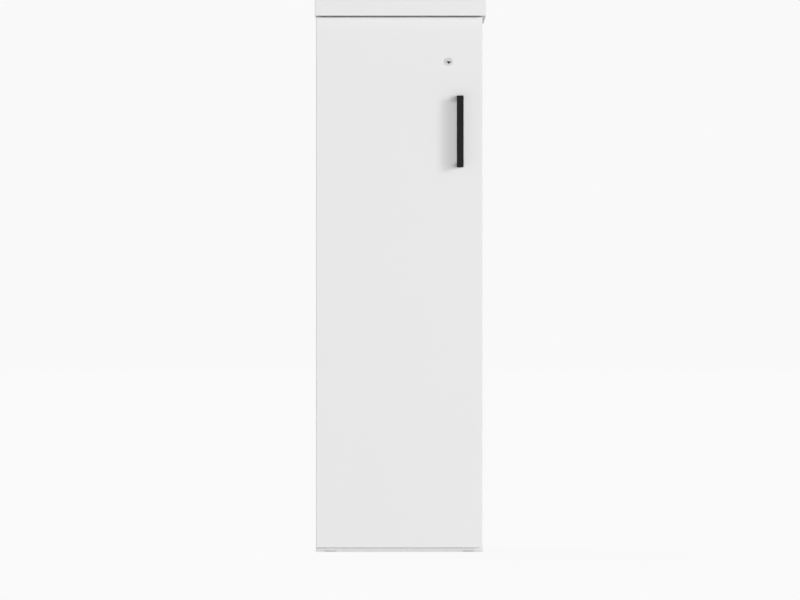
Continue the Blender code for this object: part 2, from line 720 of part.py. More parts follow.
def build_lock():
    flange_at = DOOR_FRONT - FIT
    face = flange_at - LOCK_FLANGE
    body_end = DOOR_FRONT + LOCK_BODY_LONG
    edge_r = LOCK_FLANGE_R * FLANGE_TAPER
    flange = rod("flange", lock_point(flange_at), -AXIS_Y, LOCK_FLANGE, LOCK_FLANGE_R, LARGE_ROUND, edge_r)
    obj = add_mesh("lock_body", flange, locker)
    barrel_from = face + LOCK_FLANGE / 2
    barrel = rod("barrel", lock_point(barrel_from), AXIS_Y, body_end - barrel_from, LOCK_BODY_R, ROUND)
    combine(obj, [barrel], "UNION")
    bore = rod("bore", lock_point(face - BOARD), AXIS_Y, BOARD * 4, LOCK_PLUG_BORE_R, ROUND)
    combine(obj, [bore], "DIFFERENCE")
    finish_round(obj, nickel, lock_point(DOOR_FRONT))

    nut_from = DOOR_BACK + FIT
    nut = rod("nut", lock_point(nut_from), AXIS_Y, LOCK_NUT, LOCK_NUT_R, HEXAGON)
    obj = add_mesh("lock_nut", nut, locker)
    hole = rod("nut_hole", lock_point(DOOR_FRONT), AXIS_Y, BOARD * 3, LOCK_BORE_R, ROUND)
    combine(obj, [hole], "DIFFERENCE")
    finish(obj, zinc, lock_point(nut_from))

    plug_front = face - LOCK_PLUG_PROUD
    plug_back = body_end + FIT
    plug = rod("lock_plug", lock_point(plug_front), AXIS_Y, plug_back - plug_front, LOCK_PLUG_R, ROUND)
    obj = add_mesh("lock_plug", plug, locker)
    square_end = plug_back + LOCK_SQUARE_LONG
    combine(obj, [square_mesh("square", body_end - BOARD / 2, square_end, LOCK_SQUARE)], "UNION")
    key_wide, key_deep, key_high = KEYWAY
    low = lock_point(plug_front - BOARD) - Vector((key_wide / 2, 0, key_high / 2))
    high = lock_point(plug_front + key_deep) + Vector((key_wide / 2, 0, key_high / 2))
    thread_long = CAM_SCREW_REACH + FIT
    thread = rod("thread", lock_point(square_end + FIT), -AXIS_Y, thread_long, CAM_SCREW_HOLE_R, SMALL_ROUND)
    combine(obj, [joined("key_and_thread", [box("keyway", low, high), thread])], "DIFFERENCE")
    finish_round(obj, nickel, lock_point(DOOR_FRONT))

    cam_from = plug_back + FIT
    outline = arc((0, 0), CAM_HUB_R, 0, 180, 10)
    outline += [(-CAM_TIP_HALF, -CAM_REACH + CAM_TIP_HALF)]
    outline += arc((0, -CAM_REACH + CAM_TIP_HALF), CAM_TIP_HALF, 180, 360, 8)[1:]
    lay = frame(lock_point(cam_from + CAM_THICK / 2), AXIS_X, AXIS_Z)
    obj = add_mesh("lock_cam", slab("lock_cam", outline, CAM_THICK / 2, lay), locker)
    combine(obj, [square_mesh("cam_hole", DOOR_BACK, body_end + BOARD, CAM_SQUARE_HOLE)], "DIFFERENCE")
    finish(obj, zinc, lock_point(DOOR_FRONT))

    head_at = lock_point(square_end + FIT)
    top_r = CAM_SCREW_HEAD_R * HEAD_TAPER
    head = rod("head", head_at, AXIS_Y, CAM_SCREW_HEAD, CAM_SCREW_HEAD_R, ROUND, top_r)
    obj = add_mesh("cam_screw", head, locker)
    shank_from = head_at + AXIS_Y * CAM_SCREW_HEAD / 2
    combine(obj, [rod("shank", shank_from, -AXIS_Y, CAM_SCREW_REACH, CAM_SCREW_R, SMALL_ROUND)], "UNION")
    finish_round(obj, zinc, head_at)


def hang_on(name, at, pieces, parent=None):
    """Parents a moving body's pieces, and the helpers that cut them, to an empty on its joint's axis."""
    axis = bpy.data.objects.new(name, None)
    locker.objects.link(axis)
    axis.location = at - parent.location if parent else at
    axis.parent = parent
    for piece in pieces:
        helpers_of_piece = [modifier.object for modifier in piece.modifiers if modifier.type == "BOOLEAN"]
        for member in [piece, *helpers_of_piece]:
            member.parent = axis
            member.location -= at
    return axis


def pieces_named(*starts):
    return [obj for obj in locker.objects if obj.type == "MESH" and obj.name.startswith(starts)]


def build_keeper():
    """An angle on the right side panel whose lip the cam closes behind."""
    front = FRONT + KEEPER_SETBACK
    face = INNER_RIGHT - FIT
    low_z, high_z = LOCK_Z - KEEPER_HALF_HIGH, LOCK_Z + KEEPER_HALF_HIGH
    leg = box("lock_keeper", (face - KEEPER_THICK, front, low_z), (face, front + KEEPER_LEG, high_z))
    obj = add_mesh("lock_keeper", leg, locker)
    lip_back = front + KEEPER_THICK
    lip = box("lip", (face - KEEPER_LIP, front, low_z), (face - KEEPER_THICK / 2, lip_back, high_z))
    combine(obj, [lip], "UNION")
    combine(obj, [screw_holes("keeper_holes", keeper_screw_places(), AXIS_X)], "DIFFERENCE")
    finish(obj, zinc, (face, front, LOCK_Z))
    for end, at in zip(("low", "high"), keeper_screw_places()):
        build_wood_screw(f"keeper_screw_{end}", at, AXIS_X, KEEPER_THICK)


clear_scene()
locker = new_collection("parcel_locker")
helpers = new_collection("cutters")

laminate = surface("white_laminate", (0.83, 0.83, 0.82), 0.42)
backing = surface("white_backing", (0.80, 0.80, 0.79), 0.55)
black = surface("black_powder_coat", (0.018, 0.018, 0.019), 0.45)
nickel = surface("satin_nickel", (0.62, 0.61, 0.59), 0.32, 1.0)
zinc = surface("zinc_plate", (0.56, 0.57, 0.59), 0.38, 1.0)
steel = surface("bright_steel", (0.66, 0.66, 0.66), 0.25, 1.0)
foot_plastic = surface("foot_plastic", (0.60, 0.60, 0.59), 0.55)
clear_plastic = surface("buffer_plastic", (0.70, 0.71, 0.71), 0.3)

build_carcase()
build_shelves()
build_feet()
build_hinges()
build_door()
build_handle()
build_lock()
build_keeper()

door_axis = hang_on(
    "door_axis",
    hinge_point(KNUCKLE_U, KNUCKLE_V, 0, HINGE_HEIGHTS[1]),
    pieces_named("door_panel", "hinge_cup", "hinge_pin", "handle", "buffer", "lock_body", "lock_nut"),
)
hang_on("lock_axis", lock_point(DOOR_FRONT), pieces_named("lock_plug", "lock_cam", "cam_screw"), door_axis)
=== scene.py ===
import json
import math

import bmesh
import bpy
from mathutils import Matrix, Vector


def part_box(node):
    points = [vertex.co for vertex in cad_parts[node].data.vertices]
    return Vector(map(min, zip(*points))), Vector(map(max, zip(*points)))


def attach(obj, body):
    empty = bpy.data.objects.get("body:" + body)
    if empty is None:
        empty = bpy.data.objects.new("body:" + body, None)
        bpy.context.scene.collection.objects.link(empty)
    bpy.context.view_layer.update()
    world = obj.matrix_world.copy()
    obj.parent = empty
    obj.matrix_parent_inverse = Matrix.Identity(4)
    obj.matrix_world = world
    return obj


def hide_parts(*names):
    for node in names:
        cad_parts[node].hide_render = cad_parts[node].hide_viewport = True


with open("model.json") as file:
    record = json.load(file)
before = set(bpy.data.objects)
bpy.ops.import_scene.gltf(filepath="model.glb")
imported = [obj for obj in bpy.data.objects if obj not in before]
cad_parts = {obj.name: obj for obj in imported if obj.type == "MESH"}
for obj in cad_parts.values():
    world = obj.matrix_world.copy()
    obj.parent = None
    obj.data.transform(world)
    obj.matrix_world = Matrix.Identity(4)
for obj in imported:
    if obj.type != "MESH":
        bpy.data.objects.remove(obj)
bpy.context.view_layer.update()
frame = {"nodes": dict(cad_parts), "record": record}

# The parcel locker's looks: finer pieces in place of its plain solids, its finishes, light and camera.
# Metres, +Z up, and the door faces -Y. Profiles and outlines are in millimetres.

scene = bpy.context.scene
nodes = frame["nodes"]
body_of = {n: body for body, members in frame["record"]["behaviour"]["bodies"].items() for n in members}

MM = 0.001
UP = Vector((0, 0, 1))
ACROSS = Vector((1, 0, 0))
BACKWARD = Vector((0, 1, 0))
FORWARD = -BACKWARD

# Camera: lens and sensor in millimetres, the width in view and the place in metres
LENS = 300
SENSOR = 36
VIEW_WIDE = 1.9216
CAMERA_X = -0.0012
CAMERA_Z = 0.606

# Light: azimuth and elevation are seen from the object, in degrees
BACKDROP = 0.947
AMBIENT_LOW = 0.62
AMBIENT_HIGH = 0.12
AMBIENT_BLEND = 0.1
GLEAM_LOW = 0.45
GLEAM_HIGH = 1.0
GLEAM_BLEND = 0.5
SOFTBOX = dict(azimuth=17, elevation=3.5, distance=10, power=485, wide=9.0, high=2.2)
KEY = dict(azimuth=51, elevation=12, strength=0.96, angle=17)
REAR = dict(azimuth=215, elevation=50, strength=2.2, angle=50)
FLOOR_SIZE = 80
FLOOR_COLOUR = 0.03
FLOOR_GLOW = 0.93
CONTACT_REACH = 0.008
CONTACT_SHADE = 0.7

# Finishes
WHITE = (0.82, 0.82, 0.818)
EDGE_WHITE = (0.815, 0.815, 0.813)
BACKING_WHITE = (0.76, 0.76, 0.752)
# Painted shade: a grey for the cover's underside, standing in for the shade under its overhang
UNDERSIDE_PAINTED_SHADE = (0.42, 0.42, 0.415)
CHIP_LIGHT = (0.56, 0.43, 0.28)
CHIP_DARK = (0.27, 0.18, 0.10)
FIBRE = (0.30, 0.20, 0.12)
EDGE_BAND = 1.0 * MM
BACKING_BAND = 0.2 * MM
FILM = 0.3 * MM
# Painted shade: the bottom panel darker towards the floor, in place of the shade near it
FLOOR_PAINTED_SHADE = 0.2
FLOOR_SHADE_REACH = 10 * MM

# Screws, in millimetres
HANDLE_SCREW = dict(head_r=4.2, head=2.0, shank_r=1.9, pitch=0.7)
CAM_SCREW = dict(head_r=4.6, head=2.2, shank_r=1.6, pitch=0.6)
HINGE_SCREW = dict(head_r=3.8, head=1.8, shank_r=2.0, pitch=0.8)
WOOD_SCREW = dict(head_r=3.8, head=1.6, shank_r=1.8, pitch=1.4)
ADJUSTER = dict(head_r=2.6, head=0.9, shank_r=1.2, pitch=0.6)
ADJUSTER_REACH = 2.0
ADJUSTER_FORWARD = 22
BACK_SCREW = dict(head_r=3.4, head=0.8, shank_r=1.6, pitch=1.3)
BACK_SCREW_REACH = 6.0
BACK_SCREW_INSET = 4.6
BACK_SCREW_ROWS = 6

# Handle and pressed edges, in millimetres
HANDLE_BAR = 9.0
HANDLE_LEG = 12.0
HANDLE_LEG_WIDE = 9.0
HANDLE_ROUND = 0.9
CUT_SPARE = 3.0
SHEET_ROUND = 0.3
CAM_ROUND = 0.35
PEG_ROUND = 0.25

# Joint covers, in millimetres from the edges of the boards that they sit on
CAP_OFFSET = 34
CAP_FROM_FRONT = 60
CAP_FROM_BACK = 66

# Shading of mesh edges
SHARP_ANGLE = math.radians(34)
FLAT_ANGLE = math.radians(0.5)


# ---------------------------------------------------------------- camera, light and floor

def direction(azimuth, elevation):
    """Towards a point seen from the object: azimuth 0 is in front, 90 on the right."""
    turn = math.radians(azimuth)
    rise = math.radians(elevation)
    flat = math.cos(rise)
    return Vector((math.sin(turn) * flat, -math.cos(turn) * flat, math.sin(rise)))


def add_object(name, data):
    obj = bpy.data.objects.new(name, data)
    scene.collection.objects.link(obj)
    return obj


def add_camera():
    scene.view_settings.view_transform = "Standard"
    data = bpy.data.cameras.new("camera")
    data.lens = LENS
    data.sensor_width = SENSOR
    camera = add_object("camera", data)
    door_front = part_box("door_panel")[0].y
    camera.location = (CAMERA_X, door_front - VIEW_WIDE * LENS / SENSOR, CAMERA_Z)
    camera.rotation_euler = (math.radians(90), 0, 0)
    scene.camera = camera


def add_sun(name, azimuth, elevation, strength, angle):
    data = bpy.data.lights.new(name, "SUN")
    data.energy = strength
    data.angle = math.radians(angle)
    lamp = add_object(name, data)
    lamp.rotation_euler = direction(azimuth, elevation).to_track_quat("Z", "Y").to_euler()
    lamp.visible_glossy = False


def add_softbox(name, azimuth, elevation, distance, power, wide, high):
    data = bpy.data.lights.new(name, "AREA")
    data.shape = "RECTANGLE"
    data.size, data.size_y = wide, high
    data.energy = power
    towards = direction(azimuth, elevation)
    lamp = add_object(name, data)
    lamp.rotation_euler = towards.to_track_quat("Z", "Y").to_euler()
    lamp.location = Vector((0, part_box("door_panel")[0].y, CAMERA_Z)) + towards * distance
    lamp.visible_glossy = False


def add_world():
    """A pale studio: soft light that is stronger from the floor than from above, broad gleams for
    glossy surfaces, and a plain backdrop."""
    world = bpy.data.worlds.new("studio")
    scene.world = world
    world.use_nodes = True
    tree = world.node_tree
    towards = add(tree, "ShaderNodeTexCoord").outputs["Generated"]
    height = add(tree, "ShaderNodeSeparateXYZ", {0: towards}).outputs[2]
    path = add(tree, "ShaderNodeLightPath")
    ambient = spread(tree, step_up(tree, height, -AMBIENT_BLEND, AMBIENT_BLEND), AMBIENT_LOW, AMBIENT_HIGH)
    gleam = spread(tree, step_up(tree, height, -GLEAM_BLEND, GLEAM_BLEND), GLEAM_LOW, GLEAM_HIGH)
    light = tree.nodes["Background"]
    light.inputs["Color"].default_value = (1, 1, 1, 1)
    tree.links.new(ambient, light.inputs["Strength"])
    shine = add(tree, "ShaderNodeBackground", {"Color": (1, 1, 1, 1), "Strength": gleam})
    plain = add(tree, "ShaderNodeBackground", {"Color": (BACKDROP, BACKDROP, BACKDROP, 1)})
    for picked, other in ((path.outputs["Is Glossy Ray"], shine), (path.outputs["Is Camera Ray"], plain)):
        light = add(tree, "ShaderNodeMixShader", {0: picked, 1: light.outputs[0], 2: other.outputs[0]})
    tree.links.new(light.outputs[0], tree.nodes["World Output"].inputs["Surface"])


def add_floor():
    """Paper that glows as bright as the backdrop, and dims only where something almost touches it."""
    half = FLOOR_SIZE / 2
    corners = [(-half, -half, 0), (half, -half, 0), (half, half, 0), (-half, half, 0)]
    mesh = bpy.data.meshes.new("floor")
    mesh.from_pydata(corners, [], [(0, 1, 2, 3)])
    floor = add_object("floor", mesh)
    floor.visible_diffuse = False
    floor.visible_shadow = False
    material, tree, shader = principled("floor_paper", (FLOOR_COLOUR,) * 3, 1.0, specular=0.0)
    grain = noise(tree, place(tree), scale=3.0, detail=2)
    shade = spread(tree, grain, FLOOR_COLOUR * 0.99, FLOOR_COLOUR * 1.01)
    tree.links.new(shade, shader.inputs["Base Color"])
    contact = add(tree, "ShaderNodeAmbientOcclusion", {"Distance": CONTACT_REACH}, samples=8)
    glow = spread(tree, contact.outputs["AO"], FLOOR_GLOW * CONTACT_SHADE, FLOOR_GLOW)
    tree.links.new(glow, shader.inputs["Emission Strength"])
    shader.inputs["Emission Color"].default_value = (1, 1, 1, 1)
    mesh.materials.append(material)


# ---------------------------------------------------------------- material nodes

def add(tree, kind, inputs=None, **settings):
    """A shader node with its settings and inputs; an input is a value or another node's output."""
    made = tree.nodes.new(kind)
    for key, value in settings.items():
        setattr(made, key, value)
    for key, value in (inputs or {}).items():
        if isinstance(value, bpy.types.NodeSocket):
            tree.links.new(value, made.inputs[key])
        else:
            made.inputs[key].default_value = value
    return made


def principled(name, colour, roughness, metallic=0.0, specular=0.5):
    material = bpy.data.materials.new(name)
    material.use_nodes = True
    tree = material.node_tree
    shader = tree.nodes["Principled BSDF"]
    shader.inputs["Base Color"].default_value = (*colour, 1)
    shader.inputs["Roughness"].default_value = roughness
    shader.inputs["Metallic"].default_value = metallic
    shader.inputs["Specular IOR Level"].default_value = specular
    return material, tree, shader


def place(tree):
    """The place in the object's own axes, in metres."""
    return add(tree, "ShaderNodeTexCoord").outputs["Object"]


def stretched(tree, vector, scale):
    return add(tree, "ShaderNodeMapping", {"Vector": vector, "Scale": scale}).outputs[0]


def noise(tree, vector, scale, detail, roughness=0.5):
    inputs = {"Vector": vector, "Scale": scale, "Detail": detail, "Roughness": roughness}
    return add(tree, "ShaderNodeTexNoise", inputs).outputs["Fac"]


def calc(tree, operation, a, b=0.0):
    """Arithmetic on two values, or on the first alone where the operation takes one."""
    return add(tree, "ShaderNodeMath", {0: a, 1: b}, operation=operation).outputs[0]


def spread(tree, value, low, high):
    """Maps a value of 0 to 1 onto low to high."""
    inputs = {"Value": value, "To Min": low, "To Max": high}
    return add(tree, "ShaderNodeMapRange", inputs).outputs[0]


def step_up(tree, value, start, end):
    """Rises smoothly from 0 at start to 1 at end."""
    inputs = {"Value": value, "From Min": start, "From Max": end}
    return add(tree, "ShaderNodeMapRange", inputs, interpolation_type="SMOOTHSTEP").outputs[0]


def mixed_colour(tree, factor, a, b, blend="MIX"):
    """Colour a where the factor is 0 and b, or their product, where it is 1."""
    made = add(tree, "ShaderNodeMix", data_type="RGBA", blend_type=blend)
    for socket, value in ((made.inputs[0], factor), (made.inputs[6], a), (made.inputs[7], b)):
        if isinstance(value, bpy.types.NodeSocket):
            tree.links.new(value, socket)
        else:
            socket.default_value = (*value, 1) if isinstance(value, tuple) else value
    return made.outputs[2]


def raised(tree, height, distance, normal=None):
    """Bumps from a height that is scaled by a distance in metres, on top of another bump if there is one."""
    inputs = {"Height": height, "Distance": distance}
    if normal is not None:
        inputs["Normal"] = normal
    return add(tree, "ShaderNodeBump", inputs).outputs[0]


def connect(tree, shader, **sockets):
    """Links outputs to the shader's inputs, named with underscores for their spaces."""
    for key, value in sockets.items():
        tree.links.new(value, shader.inputs[key.replace("_", " ")])


# ---------------------------------------------------------------- finishes

def chip_colour(tree, where):
    """Raw chipboard, as it shows in bored holes."""
    chips = add(tree, "ShaderNodeTexVoronoi", {"Vector": where, "Scale": 620.0}).outputs["Color"]
    shade = add(tree, "ShaderNodeSeparateColor", {0: chips}).outputs[0]
    return mixed_colour(tree, shade, CHIP_DARK, CHIP_LIGHT)


def board_zones(tree, xyz, low, high, thin, band):
    """Three values from 0 to 1: on a board's faces and not its edge band, on the seam between the two, and
    in the raw core that its holes lay bare."""
    def nearest(axis):
        from_low = calc(tree, "SUBTRACT", xyz[axis], low[axis])
        from_high = calc(tree, "SUBTRACT", high[axis], xyz[axis])
        return calc(tree, "MINIMUM", from_low, from_high)

    wide = [axis for axis in range(3) if axis != thin]
    inset = calc(tree, "MINIMUM", nearest(wide[0]), nearest(wide[1]))
    on_face = step_up(tree, inset, band * 0.96, band * 1.04)
    seam_from = calc(tree, "ABSOLUTE", calc(tree, "SUBTRACT", inset, band))
    seam = calc(tree, "SUBTRACT", 1.0, step_up(tree, seam_from, 0.04 * MM, 0.14 * MM))
    inside = step_up(tree, nearest(thin), FILM, FILM * 1.2)
    core = calc(tree, "MULTIPLY", inside, step_up(tree, inset, band * 1.1, band * 1.3))
    return on_face, seam, core


def board_bumps(tree, where, pearl, on_face, seam, core, thin):
    """Fine texture on the faces, streaks on the edge band, a groove at the seam and a rough core."""
    orange = noise(tree, where, scale=260.0, detail=1)
    streak_scale = (900, 40, 40) if thin == 2 else (40, 40, 900)
    streak = noise(tree, stretched(tree, where, streak_scale), scale=1.0, detail=2)
    face_texture = calc(tree, "ADD", calc(tree, "MULTIPLY", pearl, 0.6), orange)
    face_texture = calc(tree, "MULTIPLY", face_texture, on_face)
    band_texture = calc(tree, "MULTIPLY", streak, spread(tree, on_face, 0.5, 0.0))
    texture = calc(tree, "ADD", face_texture, band_texture)
    texture = calc(tree, "SUBTRACT", texture, calc(tree, "MULTIPLY", seam, 2.0))
    core_texture = calc(tree, "MULTIPLY", noise(tree, where, scale=420.0, detail=3), core)
    return raised(tree, core_texture, 0.5 * MM, raised(tree, texture, 0.02 * MM))


def board_finish(name, low, high, thin, band=EDGE_BAND, white=WHITE, raw=None, floor_shade=0.0, under=None):
    """White melamine on both faces of a board, an edge band round it, and the raw core inside its holes.
    thin is the axis of the board's thickness. A share of painted shade can darken the board towards its
    underside, and under is a painted shade colour for its underside, standing in for the shade that falls
    there."""
    material, tree, shader = principled(name, white, 0.4)
    where = place(tree)
    xyz = add(tree, "ShaderNodeSeparateXYZ", {0: where}).outputs
    on_face, seam, core = board_zones(tree, xyz, low, high, thin, band)
    cloud = noise(tree, where, scale=5.0, detail=3)
    pearl = noise(tree, where, scale=900.0, detail=2)
    scuff = step_up(tree, noise(tree, where, scale=34.0, detail=8, roughness=0.7), 0.70, 0.76)

    tone = calc(tree, "ADD", spread(tree, cloud, 0.992, 1.004), spread(tree, pearl, -0.006, 0.006))
    tone = calc(tree, "SUBTRACT", tone, spread(tree, seam, 0.0, 0.10))
    tone = calc(tree, "SUBTRACT", tone, spread(tree, scuff, 0.0, 0.006))
    # Painted shade: darker towards the board's underside, standing in for the shade near the floor
    if floor_shade:
        clean = step_up(tree, xyz[2], low[2] - FLOOR_SHADE_REACH / 4, low[2] + FLOOR_SHADE_REACH)
        tone = calc(tree, "MULTIPLY", tone, spread(tree, clean, 1.0 - floor_shade, 1.0))
    face = mixed_colour(tree, on_face, EDGE_WHITE if white is WHITE else white, white)
    grey = add(tree, "ShaderNodeCombineColor", {0: tone, 1: tone, 2: tone}).outputs[0]
    colour = mixed_colour(tree, 1.0, face, grey, "MULTIPLY")
    # Painted shade: the underside takes a darker colour in place of the shade that falls there
    if under:
        painted_shade_beneath = calc(tree, "SUBTRACT", 1.0, step_up(tree, xyz[2], low[2], low[2] + FILM))
        colour = mixed_colour(tree, painted_shade_beneath, colour, under)
    colour = mixed_colour(tree, core, colour, raw or chip_colour(tree, where))

    gloss = calc(tree, "ADD", spread(tree, on_face, 0.30, 0.40), spread(tree, cloud, -0.03, 0.03))
    gloss = calc(tree, "ADD", gloss, spread(tree, scuff, 0.0, 0.08))
    gloss = calc(tree, "MAXIMUM", gloss, spread(tree, core, 0.0, 0.9))
    normal = board_bumps(tree, where, pearl, on_face, seam, core, thin)
    connect(tree, shader, Base_Color=colour, Roughness=gloss, Normal=normal)
    return material


def powder_coat():
    """Black powder coat: a fine even grain, slightly rubbed along its edges."""
    material, tree, shader = principled("black_powder_coat", (0.007, 0.007, 0.0072), 0.5, specular=0.22)
    where = place(tree)
    grain = noise(tree, where, scale=1900.0, detail=2)
    patch = noise(tree, where, scale=60.0, detail=3)
    edge = step_up(tree, add(tree, "ShaderNodeNewGeometry").outputs["Pointiness"], 0.53, 0.60)
    rubbed = calc(tree, "MULTIPLY", edge, step_up(tree, patch, 0.42, 0.62))
    dark = mixed_colour(tree, grain, (0.0055, 0.0055, 0.0057), (0.0088, 0.0088, 0.0091))
    colour = mixed_colour(tree, spread(tree, rubbed, 0.0, 0.5), dark, (0.022, 0.022, 0.022))
    gloss = calc(tree, "ADD", spread(tree, patch, 0.46, 0.56), spread(tree, grain, -0.04, 0.04))
    connect(tree, shader, Base_Color=colour, Roughness=gloss, Normal=raised(tree, grain, 0.05 * MM))
    return material


def tinted(colour, factor):
    return tuple(min(1.0, channel * factor) for channel in colour)


def metal(name, colour, roughness, brushed=(1, 1, 1), blotch=0.04, tint=0.05):
    """Plated metal: brushed lines along the axis with the lowest stretch, blotches in its gloss."""
    material, tree, shader = principled(name, colour, roughness, metallic=1.0)
    where = place(tree)
    line_scale = tuple(700.0 * share for share in brushed)
    lines = noise(tree, stretched(tree, where, line_scale), scale=1.0, detail=3)
    patch = noise(tree, where, scale=130.0, detail=4)
    pale = tinted(colour, 1 + tint)
    dull = tinted(colour, 1 - tint)
    edge = step_up(tree, add(tree, "ShaderNodeNewGeometry").outputs["Pointiness"], 0.52, 0.62)
    finish = mixed_colour(tree, calc(tree, "MULTIPLY", calc(tree, "ADD", lines, patch), 0.5), dull, pale)
    finish = mixed_colour(tree, spread(tree, edge, 0.0, 0.3), finish, pale)
    gloss = spread(tree, patch, roughness - blotch, roughness + blotch)
    gloss = calc(tree, "ADD", gloss, spread(tree, lines, -0.05, 0.05))
    connect(tree, shader, Base_Color=finish, Roughness=gloss, Normal=raised(tree, lines, 0.012 * MM))
    return material


def turned_metal(name, colour, roughness, centre):
    """Lathe-turned metal: fine rings about an axis along Y."""
    material, tree, shader = principled(name, colour, roughness, metallic=1.0)
    where = place(tree)
    flat = add(tree, "ShaderNodeVectorMath", {0: where, 1: tuple(centre)}, operation="SUBTRACT").outputs[0]
    flat = add(tree, "ShaderNodeVectorMath", {0: flat, 1: (1, 0, 1)}, operation="MULTIPLY").outputs[0]
    radius = add(tree, "ShaderNodeVectorMath", {0: flat}, operation="LENGTH").outputs["Value"]
    rings = noise(tree, add(tree, "ShaderNodeCombineXYZ", {0: radius}).outputs[0], scale=5200.0, detail=2)
    patch = noise(tree, where, scale=240.0, detail=3)
    shade = mixed_colour(tree, rings, tinted(colour, 0.93), tinted(colour, 1.04))
    gloss = spread(tree, rings, roughness - 0.05, roughness + 0.06)
    gloss = calc(tree, "ADD", gloss, spread(tree, patch, -0.03, 0.03))
    connect(tree, shader, Base_Color=shade, Roughness=gloss, Normal=raised(tree, rings, 0.008 * MM))
    return material


def plastic(name, colour, roughness, grain=0.03, specular=0.5):
    """Moulded plastic with a fine grain, its depth in millimetres."""
    material, tree, shader = principled(name, colour, roughness, specular=specular)
    where = place(tree)
    fine = noise(tree, where, scale=1400.0, detail=2)
    patch = noise(tree, where, scale=90.0, detail=3)
    shade = mixed_colour(tree, patch, tinted(colour, 0.94), tinted(colour, 1.05))
    gloss = spread(tree, patch, roughness - 0.05, roughness + 0.05)
    gloss = calc(tree, "ADD", gloss, spread(tree, fine, -0.04, 0.04))
    connect(tree, shader, Base_Color=shade, Roughness=gloss, Normal=raised(tree, fine, grain * MM))
    return material


def soft_clear(name):
    """Clear soft plastic, slightly milky."""
    material = plastic(name, (0.80, 0.82, 0.82), 0.18, 0.01)
    shader = material.node_tree.nodes["Principled BSDF"]
    shader.inputs["Transmission Weight"].default_value = 0.6
    shader.inputs["IOR"].default_value = 1.48
    return material


# ---------------------------------------------------------------- meshes

def shaded(bm):
    """Outward normals, smooth faces, and sharp edges where the form has them."""
    bmesh.ops.recalc_face_normals(bm, faces=bm.faces)
    for face in bm.faces:
        face.smooth = True
    for edge in bm.edges:
        edge.smooth = len(edge.link_faces) == 2 and edge.calc_face_angle(0) < SHARP_ANGLE


def mesh_object(name, bm, matrix=None):
    if matrix is not None:
        bm.transform(matrix)
    shaded(bm)
    mesh = bpy.data.meshes.new(name)
    bm.to_mesh(mesh)
    bm.free()
    return add_object(name, mesh)


def facing(at, along):
    """A frame at a point whose Z runs along a direction."""
    return Matrix.Translation(at) @ along.to_track_quat("Z", "Y").to_matrix().to_4x4()


def loft(rings, wrap=False):
    """A closed form through rings of points, capped at both ends or joined into a ring."""
    bm = bmesh.new()
    made = [[bm.verts.new(point) for point in ring] for ring in rings]
    count = len(made[0])
    pairs = list(zip(made, made[1:])) + ([(made[-1], made[0])] if wrap else [])
    for lower, upper in pairs:
        for i in range(count):
            j = (i + 1) % count
            bm.faces.new((lower[i], lower[j], upper[j], upper[i]))
    if not wrap:
        bm.faces.new(made[0][::-1])
        bm.faces.new(made[-1])
    return bm


def polygon(inradius, sides, turn=0.0):
    """The radius of a regular polygon at an angle."""
    half = math.pi / sides
    return lambda angle: inradius / math.cos((angle - turn + half) % (2 * half) - half)


def ribbed(radius, count, depth):
    """The radius of a rim with a row of shallow grip flutes."""
    return lambda angle: radius - depth * max(0.0, math.cos(angle * count))


def turned_form(profile, steps=40, wrap=False):
    """A form turned about Z. The profile, in millimetres, lists (radius, height) and, where there is a
    thread, (radius, height, depth, pitch). A radius may be a function of the angle."""
    rings = []
    for radius, height, *thread in profile:
        ring = []
        for i in range(steps):
            angle = 2 * math.pi * i / steps
            r = radius(angle) if callable(radius) else radius
            if thread:
                depth, pitch = thread
                r -= depth * abs(2 * ((height / pitch - i / steps) % 1) - 1)
            ring.append((r * math.cos(angle) * MM, r * math.sin(angle) * MM, height * MM))
        rings.append(ring)
    return loft(rings, wrap)


def thread_run(radius, start, end, depth, pitch):
    """The part of a turned profile that carries a thread."""
    rings_per_turn = 6
    count = max(2, round(abs(end - start) / pitch * rings_per_turn))
    return [(radius, start + (end - start) * i / count, depth, pitch) for i in range(count + 1)]


def outline_form(outline, thick):
    """An outline in millimetres in the XY plane, with half its thickness either way along Z."""
    return loft([[(x * MM, y * MM, z * thick / 2 * MM) for x, y in outline] for z in (-1, 1)])


def soften(bm, width, segments):
    """Rounds the sharp edges of a form."""
    bmesh.ops.recalc_face_normals(bm, faces=bm.faces)
    sharp = [e for e in bm.edges if len(e.link_faces) == 2 and e.calc_face_angle(0) > SHARP_ANGLE]
    bmesh.ops.bevel(
        bm,
        geom=sharp,
        offset=width,
        offset_type="OFFSET",
        segments=segments,
        profile=0.5,
        affect="EDGES",
        clamp_overlap=True,
    )


def corner_arc(centre, radius, start, end, steps):
    """Points on an arc, angles in degrees."""
    turns = [math.radians(start + (end - start) * i / steps) for i in range(steps + 1)]
    return [(centre[0] + radius * math.cos(a), centre[1] + radius * math.sin(a)) for a in turns]


def rounded_outline(half_x, half_y, radius, steps):
    """A rectangle about the origin with rounded corners."""
    points = []
    for sx, sy, start in ((1, 1, 0), (-1, 1, 90), (-1, -1, 180), (1, -1, 270)):
        centre = (sx * (half_x - radius), sy * (half_y - radius))
        points += corner_arc(centre, radius, start, start + 90, steps)
    return points


